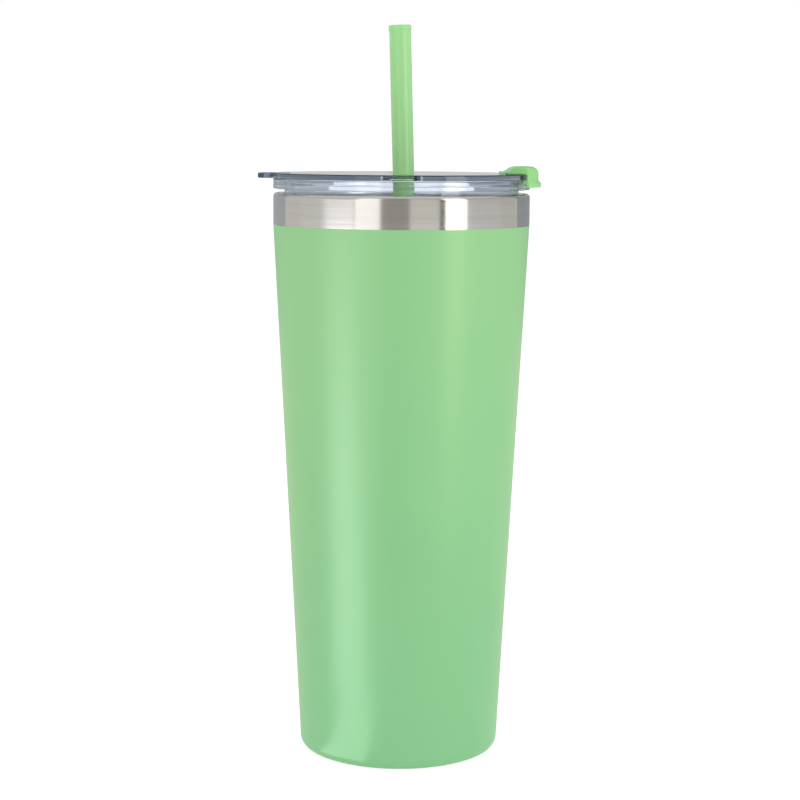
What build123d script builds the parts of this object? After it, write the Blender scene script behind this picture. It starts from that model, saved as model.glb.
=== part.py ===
"""Vacuum insulated straw tumbler: steel cup, clear press-in lid, flip stopper, straw.

Millimetres, +Z up, origin at the middle of the foot, on the surface it stands on.
"""

import os
from math import cos, radians, sin, tan

from build123d import *

os.makedirs("parts", exist_ok=True)

# Cup, outside
rim_r = 44.2
foot_r = 34.75
rim_z = 195.1
band_h = 10.8
steel_t = 0.5
paint_t = 0.15
foot_fillet = 3.0
rim_fillet = 1.2
foot_w = 2.1
paint_end_z = 0.6
band_step = 0.3

# Cup, inside
mouth_wall = 2.9
mouth_depth = 9.5
ledge_w = 1.9
vacuum_gap = 4.1
floor_z = 8.0
floor_fillet = 5.0
pan_h = 6.0
lip_fillet = 1.3
ledge_fillet = 0.4
weld_w = 1.2

# Base
recess_h = 2.1
skirt_up = 0.3
plate_bend = 0.5
dimple_bend = 0.2
cover_t = 0.5
cover_clear = 0.7
cover_edge = 0.2
dimple_r = 3.5
dimple_h = 1.0
vent_r = 0.8
bead_over = 0.8
bead_d = 0.7
getter_x = 15.0
getter_r = 3.2
getter_h = 1.85
getter_clear = 0.3
clip_t = 0.3
clip_w = 4.4
clip_foot = 2.6

# Lid
lid_stand = 6.8
flange_t = 1.85
rim_gap = 1.45
skirt_t = 1.4
plug_gap = 1.0
plug_t = 1.3
seat_clear = 0.1
groove_top = 8.2
groove_h = 4.0
groove_d = 0.5
tab_out = 5.0
tab_w = 17.0
tab_corner = 3.6
lid_edge = 0.45
lid_soft = 0.35
lid_root = 0.5
groove_line = 0.25
hole_clear = 0.8

# Gasket
gasket_clear = 0.05
lip_clear = 0.1
lip_round = 0.2
gasket_body = 0.85
gasket_lip_h = 0.7

# Stopper
hinge_in = 8.8
hinge_up = 0.9
hinge_clear = 0.1
rail_w = 1.2
rail_h = 0.7
rail_corner = 0.3
stopper_w = 23.6
stopper_corner = 5.0
root_w = 16.0
root_t = 0.6
root_lip = 0.2
stopper_h = 2.5
stopper_clear = 0.1
ramp_w = 2.9
ramp_h = 1.5
hook_clear = 0.25
hook_t = 2.95
hook_low = 4.5
flare = 0.9
flare_low = 1.4
flare_high = 2.4
flare_round = 0.4
hook_round = 0.3
shoulder = 2.6
slot_w = 15.0
slot_in = 0.6
slot_wall = 0.4
pad_clear = 0.35
pad_h = 0.9
pad_draft = 20

# Straw
straw_r = 3.7
straw_wall = 0.65
straw_up = 50.1
straw_lean = 1.69
straw_x = 0.6
straw_lift = 0.25
bead_out = 0.15
bead_h = 1.7
bead_round = 0.35

# Sizes that follow
paint_top_z = rim_z - band_h
shell_foot_r = foot_r - paint_t
shell_top_r = rim_r - paint_t
taper = (shell_top_r - shell_foot_r) / paint_top_z
foot_in_r = shell_foot_r - foot_fillet - foot_w
weld_r = rim_r - weld_w
mouth_r = rim_r - mouth_wall
ledge_z = rim_z - mouth_depth
liner_top_r = mouth_r - ledge_w
seam_z = floor_z + pan_h
seam_r = shell_foot_r + taper * seam_z - 2 * steel_t - vacuum_gap
liner_taper = (liner_top_r - seam_r) / (ledge_z - seam_z)
pan_r = seam_r - liner_taper * pan_h
plate_top = recess_h + steel_t
flange_top = rim_z + lid_stand
flange_low = flange_top - flange_t
skirt_low = rim_z + rim_gap
skirt_r = rim_r - skirt_t
plug_r = mouth_r - plug_gap
plug_in_r = plug_r - plug_t
plug_low = ledge_z + seat_clear
groove_hi = flange_top - groove_top
groove_lo = groove_hi - groove_h
groove_r = plug_r - groove_d
bead_line = (skirt_low + flange_low) / 2
hinge_x = rim_r - hinge_in
hinge_z = flange_top + hinge_up
rail_out = hinge_x - hinge_clear
rail_in = rail_out - rail_w
rail_mid = (rail_in + rail_out) / 2
flap_in = hinge_x + hinge_clear
flap_low = flange_top + stopper_clear
flap_top = flange_top + stopper_h
hook_in_r = rim_r + hook_clear
hook_out_r = hook_in_r + hook_t
hook_z = flange_top - hook_low
slot_x = hinge_x + slot_in
slot_r = plug_in_r - slot_wall
lean_sin = sin(radians(straw_lean))
lean_tan = tan(radians(straw_lean))
straw_z = floor_z + straw_lift
straw_foot_x = straw_x + (flange_top - straw_z) * lean_tan
straw_len = (flange_top + straw_up - straw_z) / cos(radians(straw_lean))


# Outer wall of the cup: taper, bare band, rounded rim and rolled foot
with BuildPart() as outer_shell:
    with BuildSketch(Plane.XZ):
        with BuildLine():
            FilletPolyline(
                (0, 0),
                (shell_foot_r, 0),
                (shell_top_r, paint_top_z),
                (rim_r, paint_top_z + band_step),
                (rim_r, rim_z),
                (0, rim_z),
                radius=[0, foot_fillet, 0, 0, rim_fillet, 0],
                close=True,
            )
        make_face()
        with BuildLine():
            FilletPolyline(
                (0, steel_t),
                (shell_foot_r - steel_t + taper * steel_t, steel_t),
                (shell_top_r - steel_t, paint_top_z),
                (rim_r - steel_t, paint_top_z + band_step),
                (rim_r - steel_t, rim_z - steel_t),
                (0, rim_z - steel_t),
                radius=[0, foot_fillet - steel_t, 0, 0, rim_fillet - steel_t, 0],
                close=True,
            )
        make_face(mode=Mode.SUBTRACT)
        with Locations((0, 0)):
            Rectangle(2 * foot_in_r, 4 * steel_t, mode=Mode.SUBTRACT)
        with Locations((0, rim_z)):
            Rectangle(2 * weld_r, 4 * steel_t, mode=Mode.SUBTRACT)
    revolve(axis=Axis.Z)

# Powder coat over the taper, stopping short of the foot
with BuildPart() as powder_coat:
    with BuildSketch(Plane.XZ):
        with BuildLine():
            FilletPolyline(
                (0, -paint_t),
                (shell_foot_r + paint_t, -paint_t),
                (rim_r, paint_top_z),
                (0, paint_top_z),
                radius=[0, foot_fillet + paint_t, 0, 0],
                close=True,
            )
        make_face()
        with BuildLine():
            FilletPolyline(
                (0, 0),
                (shell_foot_r, 0),
                (shell_top_r, paint_top_z),
                (0, paint_top_z),
                radius=[0, foot_fillet, 0, 0],
                close=True,
            )
        make_face(mode=Mode.SUBTRACT)
        with Locations((0, 0)):
            Rectangle(3 * foot_r, 2 * paint_end_z, mode=Mode.SUBTRACT)
    revolve(axis=Axis.Z)

# Inner wall: lip welded to the outer wall, mouth, seat for the lid, tapered tube
with BuildPart() as liner_tube:
    with BuildSketch(Plane.XZ):
        with BuildLine():
            FilletPolyline(
                (seam_r, seam_z),
                (liner_top_r, ledge_z),
                (mouth_r, ledge_z),
                (mouth_r, rim_z),
                (weld_r, rim_z),
                (weld_r, rim_z - steel_t),
                (mouth_r + steel_t, rim_z - steel_t),
                (mouth_r + steel_t, ledge_z - steel_t),
                (liner_top_r + steel_t, ledge_z - steel_t),
                (seam_r + steel_t, seam_z),
                radius=[
                    0, ledge_fillet, ledge_fillet, lip_fillet, 0,
                    0, lip_fillet - steel_t, ledge_fillet + steel_t, 0, 0,
                ],
                close=True,
            )
        make_face()
    revolve(axis=Axis.Z)

# Inner bottom: a drawn pan welded to the tube
with BuildPart() as liner_bottom:
    with BuildSketch(Plane.XZ):
        with BuildLine():
            FilletPolyline(
                (0, floor_z),
                (pan_r, floor_z),
                (seam_r, seam_z),
                (seam_r + steel_t, seam_z),
                (pan_r + steel_t - liner_taper * steel_t, floor_z - steel_t),
                (0, floor_z - steel_t),
                radius=[0, floor_fillet, 0, 0, floor_fillet + steel_t, 0],
                close=True,
            )
        make_face()
    revolve(axis=Axis.Z)

# Outer bottom: a recessed pressed plate with a dimple round its vent
with BuildPart() as base_plate:
    with BuildSketch(Plane.XZ):
        with BuildLine():
            FilletPolyline(
                (foot_in_r, skirt_up),
                (foot_in_r, plate_top),
                (dimple_r + 2 * steel_t, plate_top),
                (dimple_r + steel_t, plate_top + dimple_h),
                (vent_r, plate_top + dimple_h),
                (vent_r, recess_h + dimple_h),
                (dimple_r, recess_h + dimple_h),
                (dimple_r + steel_t, recess_h),
                (foot_in_r - steel_t, recess_h),
                (foot_in_r - steel_t, skirt_up),
                radius=[
                    0, plate_bend + steel_t, dimple_bend, dimple_bend, 0,
                    0, dimple_bend, dimple_bend, plate_bend, 0,
                ],
                close=True,
            )
        make_face()
    revolve(axis=Axis.Z)

# Glass solder that seals the vent
with BuildPart() as seal_bead:
    with BuildSketch(Plane.XZ):
        with BuildLine():
            FilletPolyline(
                (0, recess_h + dimple_h - bead_d),
                (vent_r + bead_over, recess_h + dimple_h - bead_d),
                (vent_r + 2 * bead_over, recess_h + dimple_h),
                (vent_r, recess_h + dimple_h),
                (vent_r, plate_top + dimple_h),
                (0, plate_top + dimple_h),
                radius=[0, dimple_bend, 0, 0, 0, 0],
                close=True,
            )
        make_face()
    revolve(axis=Axis.Z)

# Cover disc stuck in the recess
with BuildPart() as base_cover:
    with BuildSketch(Plane.XY.offset(recess_h - cover_t)):
        Circle(foot_in_r - steel_t - cover_clear)
    extrude(amount=cover_t)
    fillet(base_cover.edges().sort_by(Axis.Z)[0], radius=cover_edge)

# Getter pellet and the strap that holds it on the outer bottom, in the vacuum
with BuildPart() as getter_pellet:
    with BuildSketch(Plane.XY.offset(plate_top)):
        with Locations((getter_x, 0)):
            Circle(getter_r)
    extrude(amount=getter_h)

with BuildPart() as getter_clip:
    strap_in = getter_r + getter_clear
    strap_out = strap_in + clip_t
    foot_out = strap_out + clip_foot
    strap_z = plate_top + getter_h
    with BuildSketch(Plane.XZ):
        with BuildLine():
            Polyline(
                (getter_x - foot_out, plate_top),
                (getter_x - strap_in, plate_top),
                (getter_x - strap_in, strap_z),
                (getter_x + strap_in, strap_z),
                (getter_x + strap_in, plate_top),
                (getter_x + foot_out, plate_top),
                (getter_x + foot_out, plate_top + clip_t),
                (getter_x + strap_out, plate_top + clip_t),
                (getter_x + strap_out, strap_z + clip_t),
                (getter_x - strap_out, strap_z + clip_t),
                (getter_x - strap_out, plate_top + clip_t),
                (getter_x - foot_out, plate_top + clip_t),
                close=True,
            )
        make_face()
    extrude(amount=clip_w / 2, both=True)

# Lift tab, joined to the lid below
with BuildPart() as lift_tab:
    with BuildSketch(Plane.XY.offset(flange_low)):
        with Locations((-rim_r - tab_out / 2 + skirt_t, 0)):
            Rectangle(tab_out + 2 * skirt_t, tab_w)
        fillet(vertices().group_by(Axis.X)[0], radius=tab_corner)
    extrude(amount=flange_t)
    fillet(lift_tab.faces().sort_by(Axis.Z)[-1].edges(), radius=lid_edge)
    fillet(lift_tab.faces().sort_by(Axis.Z)[0].edges(), radius=lid_edge)

# Clear lid: flange with lift tab, outer skirt, plug wall with its gasket groove
with BuildPart() as lid_body:
    with BuildSketch(Plane.XZ):
        with BuildLine():
            FilletPolyline(
                (0, flange_top),
                (rim_r, flange_top),
                (rim_r, bead_line + groove_line),
                (rim_r - groove_line, bead_line + groove_line / 2),
                (rim_r - groove_line, bead_line - groove_line / 2),
                (rim_r, bead_line - groove_line),
                (rim_r, skirt_low),
                (skirt_r, skirt_low),
                (skirt_r, flange_low),
                (plug_r, flange_low),
                (plug_r, groove_hi),
                (groove_r, groove_hi),
                (groove_r, groove_lo),
                (plug_r, groove_lo),
                (plug_r, plug_low),
                (plug_in_r, plug_low),
                (plug_in_r, flange_low),
                (0, flange_low),
                radius=[
                    0, lid_edge, 0, 0, 0, 0, lid_soft, lid_soft, lid_root,
                    lid_root, 0, 0, 0, 0, lid_soft, lid_soft, lid_root, 0,
                ],
                close=True,
            )
        make_face()
    revolve(axis=Axis.Z)
    add(lift_tab.part)
    with BuildSketch(Plane.XY.offset(flange_low)):
        Circle(straw_r + hole_clear)
        with Locations((slot_x + slot_r, 0)):
            Rectangle(2 * slot_r, slot_w)
        Circle(slot_r, mode=Mode.INTERSECT)
    extrude(amount=flange_t, mode=Mode.SUBTRACT)
    with BuildSketch(Plane.XY.offset(flange_low)):
        with Locations((rail_mid, 0)):
            Rectangle(root_t, root_w)
    extrude(amount=flange_t, mode=Mode.SUBTRACT)

# Silicone gasket in the plug's groove
with BuildPart() as lid_gasket:
    gasket_in = groove_r + gasket_clear
    gasket_mid = gasket_in + gasket_body
    gasket_out = mouth_r - lip_clear
    gasket_hi = groove_hi - gasket_clear
    gasket_lo = groove_lo + gasket_clear
    lip_step = (gasket_hi - gasket_lo) / 4
    with BuildSketch(Plane.XZ):
        with BuildLine():
            FilletPolyline(
                (gasket_in, gasket_lo),
                (gasket_mid, gasket_lo),
                (gasket_out, gasket_lo + lip_step / 2),
                (gasket_out, gasket_lo + lip_step / 2 + gasket_lip_h),
                (gasket_mid, gasket_lo + 2 * lip_step),
                (gasket_out, gasket_hi - lip_step / 2 - gasket_lip_h),
                (gasket_out, gasket_hi - lip_step / 2),
                (gasket_mid, gasket_hi),
                (gasket_in, gasket_hi),
                radius=[0, 0, lip_round, lip_round, lip_round, lip_round, lip_round, 0, 0],
                close=True,
            )
        make_face()
    revolve(axis=Axis.Z)

# Rail that anchors the stopper, snapped through a slit in the flange
with BuildPart() as stopper_anchor:
    with BuildSketch(Plane.XY.offset(flange_top)):
        with Locations((rail_mid, 0)):
            Rectangle(rail_w, stopper_w)
        fillet(vertices(), radius=rail_corner)
    extrude(amount=rail_h)
    with BuildSketch(Plane.XY.offset(flange_low)):
        with Locations((rail_mid, 0)):
            Rectangle(root_t, root_w)
    extrude(amount=flange_t)
    with BuildSketch(Plane.XY.offset(flange_low - rail_h)):
        with Locations((rail_mid, 0)):
            Rectangle(root_t + 2 * root_lip, root_w)
    extrude(amount=rail_h)

# Flip stopper: ramp and dome over the slot, hook down over the rim of the lid
with BuildPart() as stopper_flap:
    with BuildSketch(Plane.XZ):
        with BuildLine():
            FilletPolyline(
                (hinge_x - ramp_w, flap_low),
                (hook_in_r, flap_low),
                (hook_in_r, hook_z),
                (hook_out_r + flare, hook_z),
                (hook_out_r + flare, hook_z + flare_low),
                (hook_out_r, hook_z + flare_high),
                (hook_out_r, flap_top),
                (hinge_x - ramp_w, flap_top),
                radius=[0, hook_round, hook_round, flare_round, flare_round, flare_round, shoulder, 0],
                close=True,
            )
        make_face()
    revolve(axis=Axis.Z)
    with BuildSketch(Plane.XZ):
        with BuildLine():
            Polyline(
                (flap_in, hook_z - 1),
                (hook_out_r + 2, hook_z - 1),
                (hook_out_r + 2, flap_top + stopper_h),
                (flap_in + ramp_w + stopper_h * ramp_w / ramp_h, flap_top + stopper_h),
                (flap_in + ramp_w, flap_top),
                (flap_in, hinge_z + hinge_clear),
                close=True,
            )
        make_face()
    extrude(amount=stopper_w / 2, both=True, mode=Mode.INTERSECT)
    with BuildSketch(Plane.XY.offset(hook_z)):
        with Locations((flap_in, 0)):
            Rectangle(2 * (hook_out_r + 2 * flare - flap_in), stopper_w)
        fillet(vertices().group_by(Axis.X)[-1], radius=stopper_corner)
    extrude(amount=flap_top - hook_z, mode=Mode.INTERSECT)
    with BuildSketch(Plane.XY.offset(flap_low)):
        with Locations((slot_x + pad_clear + slot_r, 0)):
            Rectangle(2 * slot_r, slot_w - 2 * pad_clear)
        Circle(slot_r - pad_clear, mode=Mode.INTERSECT)
    extrude(amount=-pad_h, taper=pad_draft)

# Straw, leaning in the lid's hole, with a small rolled bead at its mouth
with BuildPart() as straw:
    straw_plane = Plane(
        origin=(straw_foot_x, 0, straw_z),
        x_dir=(cos(radians(straw_lean)), 0, lean_sin),
        z_dir=(-lean_sin, 0, cos(radians(straw_lean))),
    )
    with BuildSketch(straw_plane):
        Circle(straw_r)
    extrude(amount=straw_len)
    with BuildSketch(straw_plane.offset(straw_len - bead_h)):
        Circle(straw_r + bead_out)
    extrude(amount=bead_h)
    with BuildSketch(straw_plane):
        Circle(straw_r - straw_wall)
    extrude(amount=straw_len, mode=Mode.SUBTRACT)
    fillet(straw.edges().sort_by(Axis.Z)[-2:], radius=bead_round)

outer_shell.part.label = "outer_shell"
export_step(outer_shell.part, "parts/outer_shell.step")
powder_coat.part.label = "powder_coat"
export_step(powder_coat.part, "parts/powder_coat.step")
liner_tube.part.label = "liner_tube"
export_step(liner_tube.part, "parts/liner_tube.step")
liner_bottom.part.label = "liner_bottom"
export_step(liner_bottom.part, "parts/liner_bottom.step")
base_plate.part.label = "base_plate"
export_step(base_plate.part, "parts/base_plate.step")
seal_bead.part.label = "seal_bead"
export_step(seal_bead.part, "parts/seal_bead.step")
base_cover.part.label = "base_cover"
export_step(base_cover.part, "parts/base_cover.step")
getter_pellet.part.label = "getter_pellet"
export_step(getter_pellet.part, "parts/getter_pellet.step")
getter_clip.part.label = "getter_clip"
export_step(getter_clip.part, "parts/getter_clip.step")
lid_body.part.label = "lid_body"
export_step(lid_body.part, "parts/lid_body.step")
lid_gasket.part.label = "lid_gasket"
export_step(lid_gasket.part, "parts/lid_gasket.step")
stopper_anchor.part.label = "stopper_anchor"
export_step(stopper_anchor.part, "parts/stopper_anchor.step")
stopper_flap.part.label = "stopper_flap"
export_step(stopper_flap.part, "parts/stopper_flap.step")
straw.part.label = "straw"
export_step(straw.part, "parts/straw.step")
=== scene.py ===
"""Looks of the insulated straw tumbler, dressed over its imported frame.

Everything is in metres in the frame's own axes: +Z up the cup, +X towards the flip stopper.
"""

from __future__ import annotations

import logging
import math
from dataclasses import dataclass, field
from enum import Enum

import bmesh
import bpy
from mathutils import Matrix, Vector

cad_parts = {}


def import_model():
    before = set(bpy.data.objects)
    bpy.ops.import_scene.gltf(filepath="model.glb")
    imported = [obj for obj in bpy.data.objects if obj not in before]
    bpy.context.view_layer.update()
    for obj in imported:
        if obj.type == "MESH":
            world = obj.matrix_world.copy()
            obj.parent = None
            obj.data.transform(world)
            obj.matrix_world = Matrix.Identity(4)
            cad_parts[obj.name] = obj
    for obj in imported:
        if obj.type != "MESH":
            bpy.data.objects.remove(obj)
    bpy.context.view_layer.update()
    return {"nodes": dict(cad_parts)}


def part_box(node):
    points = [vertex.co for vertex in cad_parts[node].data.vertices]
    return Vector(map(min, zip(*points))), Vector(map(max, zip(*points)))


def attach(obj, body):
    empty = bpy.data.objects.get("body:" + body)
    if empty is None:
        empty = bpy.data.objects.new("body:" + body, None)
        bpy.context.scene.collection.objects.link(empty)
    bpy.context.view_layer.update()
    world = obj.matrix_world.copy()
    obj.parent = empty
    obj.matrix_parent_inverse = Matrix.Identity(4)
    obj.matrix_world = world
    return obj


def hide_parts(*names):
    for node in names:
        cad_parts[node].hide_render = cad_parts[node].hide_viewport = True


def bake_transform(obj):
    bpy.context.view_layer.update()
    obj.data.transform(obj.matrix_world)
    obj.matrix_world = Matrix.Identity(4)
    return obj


Colour = tuple[float, float, float]
Size = tuple[float, float, float]
Point = tuple[float, float]

LOG = logging.getLogger("tumbler")
MM = 0.001
TURN_SPANS = 256  # spans in a full turn
CORNER_SPANS = 8  # spans in a rounded corner
DISC_SPANS = 192  # spans round a disc that cuts the lid or fills its slot
SHARP_ANGLE = math.radians(35)  # edges that turn more than this stay sharp
MERGE_DISTANCE = 0.001 * MM
NOISE_LOW, NOISE_HIGH = 0.3, 0.7  # most of a noise's values lie between these
WHITE: Colour = (1.0, 1.0, 1.0)


class Card(Enum):
    """What a card does.

    LIGHT lights the object and is reflected, REFLECTION is reflected and seen through clear parts,
    GLOSS is only reflected, and FILL only lights.
    """

    LIGHT = "light"
    REFLECTION = "reflection"
    GLOSS = "gloss"
    FILL = "fill"


# ---------------------------------------------------------------- helpers for node trees


@dataclass
class Nodes:
    """A material's node tree with short ways to add to it.

    Args:
        name: The material's name.
    """

    name: str
    material: bpy.types.Material = field(init=False)
    shader: bpy.types.Node = field(init=False)

    def __post_init__(self) -> None:
        """Start a material with a principled shader."""
        self.material = bpy.data.materials.new(self.name)
        self.material.use_nodes = True
        self.shader = self.material.node_tree.nodes["Principled BSDF"]

    def add(self, kind: str, **inputs: object) -> bpy.types.Node:
        """Add a node and set its unlinked inputs.

        Args:
            kind: The node's type, such as ShaderNodeTexNoise.
            **inputs: Input values by name, with underscores for spaces.

        Returns:
            The new node.
        """
        node = self.material.node_tree.nodes.new(kind)
        for key, value in inputs.items():
            node.inputs[key.replace("_", " ")].default_value = value
        return node

    def join(self, start: bpy.types.NodeSocket, end: bpy.types.NodeSocket) -> None:
        """Link one socket to another."""
        self.material.node_tree.links.new(start, end)

    def set(self, **inputs: object) -> None:
        """Set constants on the shader itself.

        Args:
            **inputs: Shader inputs by name, with underscores for spaces.
        """
        for key, value in inputs.items():
            self.shader.inputs[key.replace("_", " ")].default_value = value

    def noise(self, size: Size, detail: float = 2.0) -> bpy.types.NodeSocket:
        """Noise whose blobs measure about `size` in metres along each axis.

        Args:
            size: Blob size along X, Y and Z.
            detail: Octaves of detail.

        Returns:
            The noise value, 0 to 1.
        """
        coords = self.add("ShaderNodeTexCoord")
        mapping = self.add("ShaderNodeMapping", Scale=tuple(1.0 / s for s in size))
        noise = self.add("ShaderNodeTexNoise", Scale=1.0, Detail=detail, Roughness=0.55)
        self.join(coords.outputs["Object"], mapping.inputs["Vector"])
        self.join(mapping.outputs["Vector"], noise.inputs["Vector"])
        return noise.outputs["Fac"]

    def spread(self, value: bpy.types.NodeSocket, low: float, high: float) -> bpy.types.NodeSocket:
        """Map noise onto the range low to high.

        Args:
            value: A noise value.
            low: Result at the noise's usual lowest value.
            high: Result at its usual highest value.

        Returns:
            The mapped socket.
        """
        ramp = self.add("ShaderNodeMapRange")
        ramp.inputs["From Min"].default_value = NOISE_LOW
        ramp.inputs["From Max"].default_value = NOISE_HIGH
        ramp.inputs["To Min"].default_value = low
        ramp.inputs["To Max"].default_value = high
        self.join(value, ramp.inputs["Value"])
        return ramp.outputs["Result"]

    def fade(self, value: bpy.types.NodeSocket, low: float, high: float) -> bpy.types.NodeSocket:
        """A smooth step from 0 at low to 1 at high.

        Args:
            value: The socket to compare.
            low: Where the step starts.
            high: Where it is done.

        Returns:
            The step, 0 to 1.
        """
        step = self.add("ShaderNodeMapRange")
        step.interpolation_type = "SMOOTHSTEP"
        step.inputs["From Min"].default_value = low
        step.inputs["From Max"].default_value = high
        self.join(value, step.inputs["Value"])
        return step.outputs["Result"]

    def combine(
        self, operation: str, first: bpy.types.NodeSocket, second: bpy.types.NodeSocket
    ) -> bpy.types.NodeSocket:
        """Work out one value from two.

        Args:
            operation: What a Math node does with them.
            first: The first socket.
            second: The second socket.

        Returns:
            The result.
        """
        node = self.add("ShaderNodeMath")
        node.operation = operation
        self.join(first, node.inputs[0])
        self.join(second, node.inputs[1])
        return node.outputs["Value"]

    def tint(self, value: bpy.types.NodeSocket, low: Colour, high: Colour) -> None:
        """Drive the base colour between two colours.

        Args:
            value: A socket that runs from 0 to 1.
            low: Colour at 0.
            high: Colour at 1.
        """
        mix = self.add("ShaderNodeMix")
        mix.data_type = "RGBA"
        mix.inputs["A"].default_value = (*low, 1.0)
        mix.inputs["B"].default_value = (*high, 1.0)
        self.join(value, mix.inputs["Factor"])
        self.join(mix.outputs["Result"], self.shader.inputs["Base Color"])

    def vary(self, value: bpy.types.NodeSocket, mean: float, low: float, high: float) -> None:
        """Let noise vary the roughness.

        Args:
            value: A noise value.
            mean: Mean roughness.
            low: Lowest roughness, as a share of the mean.
            high: Highest roughness, as a share of the mean.
        """
        self.join(self.spread(value, mean * low, mean * high), self.shader.inputs["Roughness"])

    def mottle(self, value: bpy.types.NodeSocket, colour: Colour, low: float, high: float) -> None:
        """Let noise make a colour darker and lighter.

        Args:
            value: A noise value.
            colour: The mean colour.
            low: Darkest shade, as a share of the colour.
            high: Lightest shade, as a share of the colour.
        """
        self.tint(self.spread(value, 0.0, 1.0), shade(colour, low), shade(colour, high))

    def bump(self, heights: list[tuple[bpy.types.NodeSocket, float]]) -> None:
        """Stack bumps, each a height map and its height in metres.

        Args:
            heights: Pairs of a socket and the height it stands for.
        """
        below = None
        for value, height in heights:
            node = self.add("ShaderNodeBump", Strength=1.0, Distance=height)
            self.join(value, node.inputs["Height"])
            if below is not None:
                self.join(below, node.inputs["Normal"])
            below = node.outputs["Normal"]
        if below is not None:
            self.join(below, self.shader.inputs["Normal"])


def shade(colour: Colour, factor: float) -> Colour:
    """A colour made lighter or darker by a factor."""
    return tuple(min(1.0, c * factor) for c in colour)


# ---------------------------------------------------------------- finishes


@dataclass(frozen=True)
class PowderCoat:
    """Satin powder coat with fine orange peel, and painted shade that darkens it towards the foot.

    Args:
        name: Material name.
        colour: Colour at the top.
        painted_shade_foot: Colour at the foot, where painted shade darkens the coat.
        top: Height of the top.
        roughness: Mean roughness.
        peel: Width of the orange peel's bumps.
        peel_height: Height of the orange peel.
        grain: Width of the powder's grain.
        grain_share: Height of the grain, as a share of the orange peel's.
        cloud: Width of the patches where the film is thicker or thinner.
        cloud_depth: How far those patches shift the colour.
        ior: Refractive index.
    """

    name: str
    colour: Colour
    painted_shade_foot: Colour
    top: float = 190 * MM
    roughness: float = 0.34
    peel: float = 0.9 * MM
    peel_height: float = 0.006 * MM
    grain: float = 0.25 * MM
    grain_share: float = 0.2
    cloud: float = 30 * MM
    cloud_depth: float = 0.06
    ior: float = 1.6

    def make(self) -> bpy.types.Material:
        """Build the material.

        Returns:
            The material.
        """
        nodes = Nodes(self.name)
        coords = nodes.add("ShaderNodeTexCoord")
        split = nodes.add("ShaderNodeSeparateXYZ")
        nodes.join(coords.outputs["Object"], split.inputs["Vector"])
        # painted shade: the colour runs from the darker foot colour up to the top colour, standing
        # in for light that falls more on the top
        height = nodes.fade(split.outputs["Z"], 0.0, self.top)
        cloud = nodes.spread(nodes.noise((self.cloud,) * 3), -self.cloud_depth, self.cloud_depth)
        nodes.tint(nodes.combine("ADD", height, cloud), self.painted_shade_foot, self.colour)
        fine = nodes.noise((self.peel,) * 3, detail=3.0)
        grain = nodes.noise((self.grain,) * 3, detail=1.0)
        nodes.vary(fine, self.roughness, 0.92, 1.08)
        nodes.bump([(fine, self.peel_height), (grain, self.peel_height * self.grain_share)])
        nodes.set(IOR=self.ior)
        return nodes.material


@dataclass(frozen=True)
class BrushedSteel:
    """Stainless steel, brushed round the cup or left matt.

    Args:
        name: Material name.
        colour: Base colour.
        roughness: Mean roughness.
        line: Width of a brushed line.
        line_height: Depth of a brushed line.
        stretch: How much longer than wide the lines are.
        band: How much wider the soft bands are than a line.
        anisotropy: How far reflections spread across the lines.
    """

    name: str
    colour: Colour
    roughness: float = 0.28
    line: float = 0.25 * MM
    line_height: float = 0.0024 * MM
    stretch: float = 150.0
    band: float = 9.0
    anisotropy: float = 0.7

    def make(self) -> bpy.types.Material:
        """Build the material.

        Returns:
            The material.
        """
        nodes = Nodes(self.name)
        along = self.line * self.stretch
        lines = nodes.noise((along, along, self.line), detail=3.0)
        bands = nodes.noise((along * 2, along * 2, self.line * self.band))
        nodes.mottle(bands, self.colour, 0.95, 1.04)
        nodes.vary(lines, self.roughness, 0.85, 1.2)
        nodes.bump([(lines, self.line_height)])
        nodes.set(Metallic=1.0, Anisotropic=self.anisotropy, Anisotropic_Rotation=0.25)
        return nodes.material


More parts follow.
